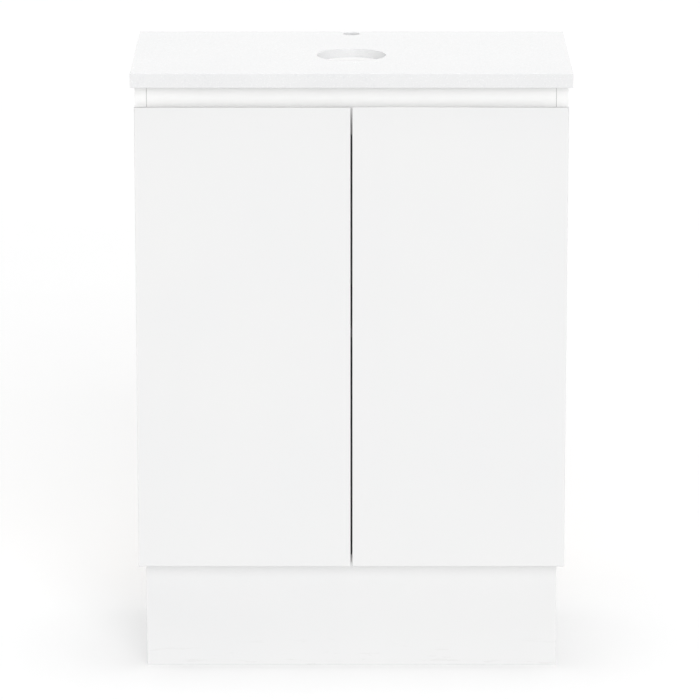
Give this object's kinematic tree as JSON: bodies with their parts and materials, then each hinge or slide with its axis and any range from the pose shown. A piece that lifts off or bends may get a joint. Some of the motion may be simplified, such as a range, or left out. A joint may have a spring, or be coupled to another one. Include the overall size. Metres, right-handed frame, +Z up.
{
  "type": "bathroom vanity cabinet",
  "caption": "Narrow white vanity cabinet: stone benchtop bored for a countertop basin and a tap, finger gap over flat overlay doors on concealed hinges, shelf inside, set-back plinth.",
  "frame": {"origin": "on the floor, under the middle of the benchtop", "axes": "+Z up, doors face -Y, +X to the right seen from the front"},
  "size_m": [0.6, 0.33, 0.85],
  "materials": {
    "stone": "fine-grained engineered stone, polished faces and honed edge",
    "substrate_board": "white-faced board under the stone",
    "white_melamine": "white melamine-faced board with taped edges",
    "back_board": "white-faced hardboard, bare at the rear",
    "plinth_board": "white satin faced board",
    "satin_lacquer": "white satin lacquer on fibreboard",
    "raw_timber": "raw softwood and beech",
    "cast_zinc": "die-cast zinc",
    "hinge_nickel": "nickel-plated pressed steel",
    "zinc_steel": "bright zinc-plated steel",
    "soft_buffer": "translucent soft plastic"
  },
  "bodies": {
    "cabinet": {"stone_top": "stone", "edge_strip_front": "stone", "edge_strip_left": "stone", "edge_strip_right": "stone", "top_substrate": "substrate_board", "gable_left": "white_melamine", "gable_right": "white_melamine", "bottom_panel": "white_melamine", "front_rail": "white_melamine", "rear_rail_top": "white_melamine", "rear_rail_bottom": "white_melamine", "back_panel": "back_board", "shelf": "white_melamine", "shelf_pins": "zinc_steel", "carcass_dowels": "raw_timber", "cam_bolts": "zinc_steel", "cam_locks": "cast_zinc", "plinth_front": "plinth_board", "plinth_left": "plinth_board", "plinth_right": "plinth_board", "plinth_rear": "plinth_board", "plinth_blocks": "raw_timber", "plinth_screws": "zinc_steel", "hinge_plates_left": "hinge_nickel", "hinge_plates_right": "hinge_nickel", "plate_screws_left": "zinc_steel", "plate_screws_right": "zinc_steel", "hinge_arms_left": "hinge_nickel", "hinge_arms_right": "hinge_nickel", "arm_screws_left": "zinc_steel", "arm_screws_right": "zinc_steel"},
    "links_left": {"hinge_links_left": "hinge_nickel", "hinge_pins_left": "zinc_steel"},
    "links_right": {"hinge_links_right": "hinge_nickel", "hinge_pins_right": "zinc_steel"},
    "door_left": {"door_panel_left": "satin_lacquer", "hinge_cups_left": "hinge_nickel", "cup_screws_left": "zinc_steel", "door_buffer_left": "soft_buffer"},
    "door_right": {"door_panel_right": "satin_lacquer", "hinge_cups_right": "hinge_nickel", "cup_screws_right": "zinc_steel", "door_buffer_right": "soft_buffer"}
  },
  "joints": [
    {"name": "left_door_swing", "type": "hinge", "parent": "links_left", "child": "door_left", "pos_m": [-0.284, -0.142, 0.4705], "axis": [0, 0, -1], "range_deg": [0, 140]},
    {"name": "left_link_turn", "type": "hinge", "parent": "cabinet", "child": "links_left", "pos_m": [-0.262, -0.123, 0.4705], "axis": [0, 0, -1], "range_deg": [-42, 0]},
    {"name": "right_door_swing", "type": "hinge", "parent": "links_right", "child": "door_right", "pos_m": [0.284, -0.142, 0.4705], "axis": [0, 0, 1], "range_deg": [0, 140]},
    {"name": "right_link_turn", "type": "hinge", "parent": "cabinet", "child": "links_right", "pos_m": [0.262, -0.123, 0.4705], "axis": [0, 0, 1], "range_deg": [-42, 0]}
  ],
  "couplings": [
    {"joint": "left_link_turn", "follows": "left_door_swing", "ratio": -0.3},
    {"joint": "right_link_turn", "follows": "right_door_swing", "ratio": -0.3}
  ]
}
